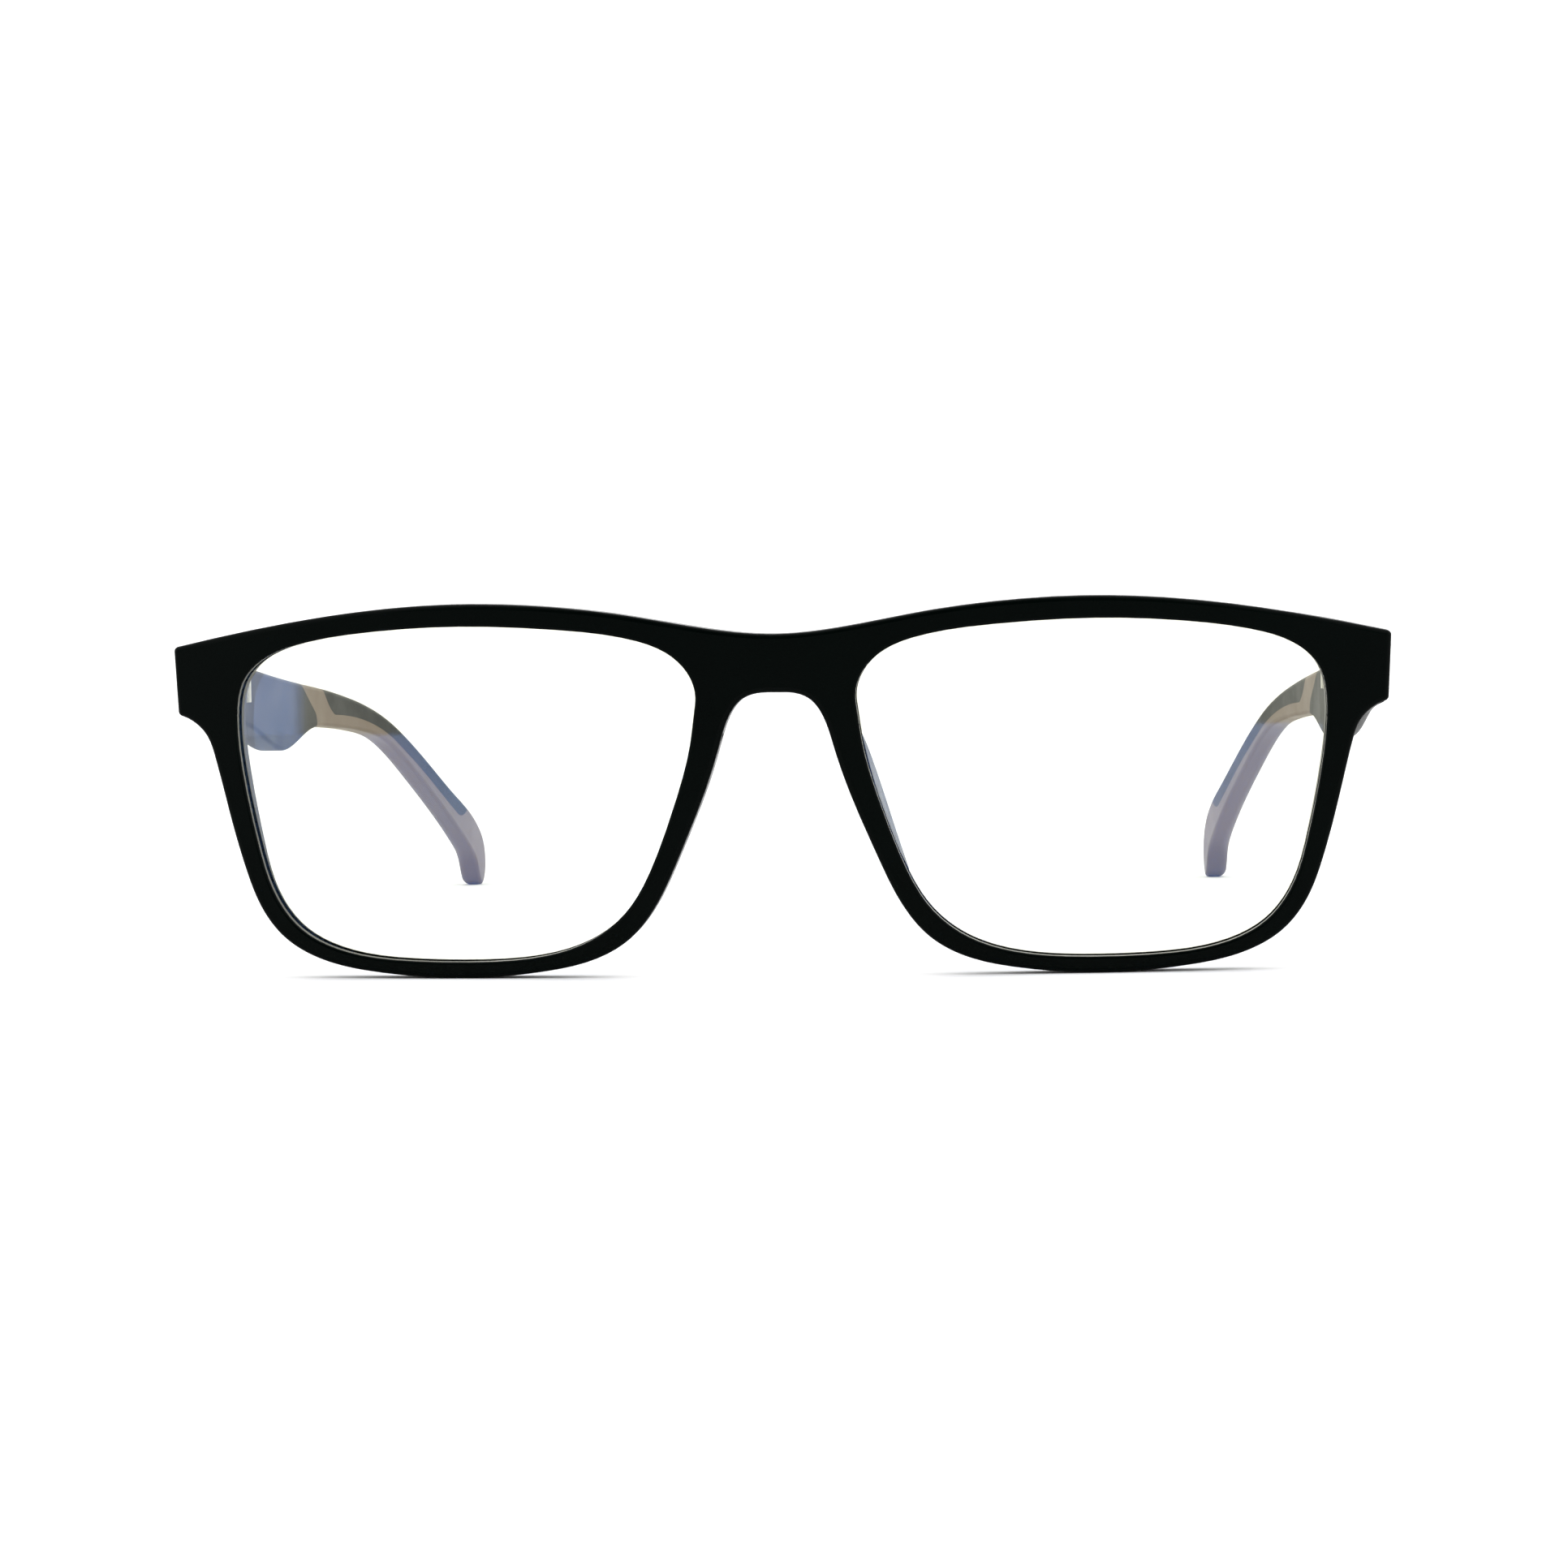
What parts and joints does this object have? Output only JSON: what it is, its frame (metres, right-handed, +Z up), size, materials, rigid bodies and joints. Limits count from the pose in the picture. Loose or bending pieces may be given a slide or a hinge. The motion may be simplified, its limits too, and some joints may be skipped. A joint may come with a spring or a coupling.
{
  "type": "blue light glasses",
  "caption": "Full-rim plastic glasses with curved filter lenses, moulded nose pads and two-tone temples that fold on screwed barrel hinges.",
  "frame": {"origin": "middle of the bounding box at the height that the rim bottoms and temple tips stand on", "axes": "+X towards the wearer's left, +Y backwards along the open temples, +Z up"},
  "size_m": [0.144, 0.138, 0.0442],
  "materials": {
    "frame_black": "satin injection-moulded black",
    "lens": "clear, faintly yellow, blue-reflecting coating",
    "temple_black": "satin black",
    "temple_brown": "satin taupe brown",
    "hinge_metal": "polished nickel silver",
    "screw_steel": "plated steel"
  },
  "bodies": {
    "front": {"front_frame": "frame_black", "lens_left": "lens", "lens_right": "lens", "hinge_front_leaf_left": "hinge_metal", "hinge_front_leaf_right": "hinge_metal", "front_leaf_screws_left": "screw_steel", "front_leaf_screws_right": "screw_steel", "hinge_screw_left": "screw_steel", "hinge_screw_right": "screw_steel"},
    "temple_left": {"temple_block_left": "temple_black", "temple_core_left": "temple_brown", "temple_inlay_left": "temple_black", "hinge_temple_leaf_left": "hinge_metal", "temple_leaf_screws_left": "screw_steel"},
    "temple_right": {"temple_block_right": "temple_black", "temple_core_right": "temple_brown", "temple_inlay_right": "temple_black", "hinge_temple_leaf_right": "hinge_metal", "temple_leaf_screws_right": "screw_steel"}
  },
  "joints": [
    {"name": "temple_left_fold", "type": "hinge", "parent": "front", "child": "temple_left", "pos_m": [0.06545, -0.0568, 0.0355], "axis": [0, 0, 1], "range_deg": [0, 85]},
    {"name": "temple_right_fold", "type": "hinge", "parent": "front", "child": "temple_right", "pos_m": [-0.06545, -0.0568, 0.0355], "axis": [0, 0, -1], "range_deg": [0, 80]}
  ]
}
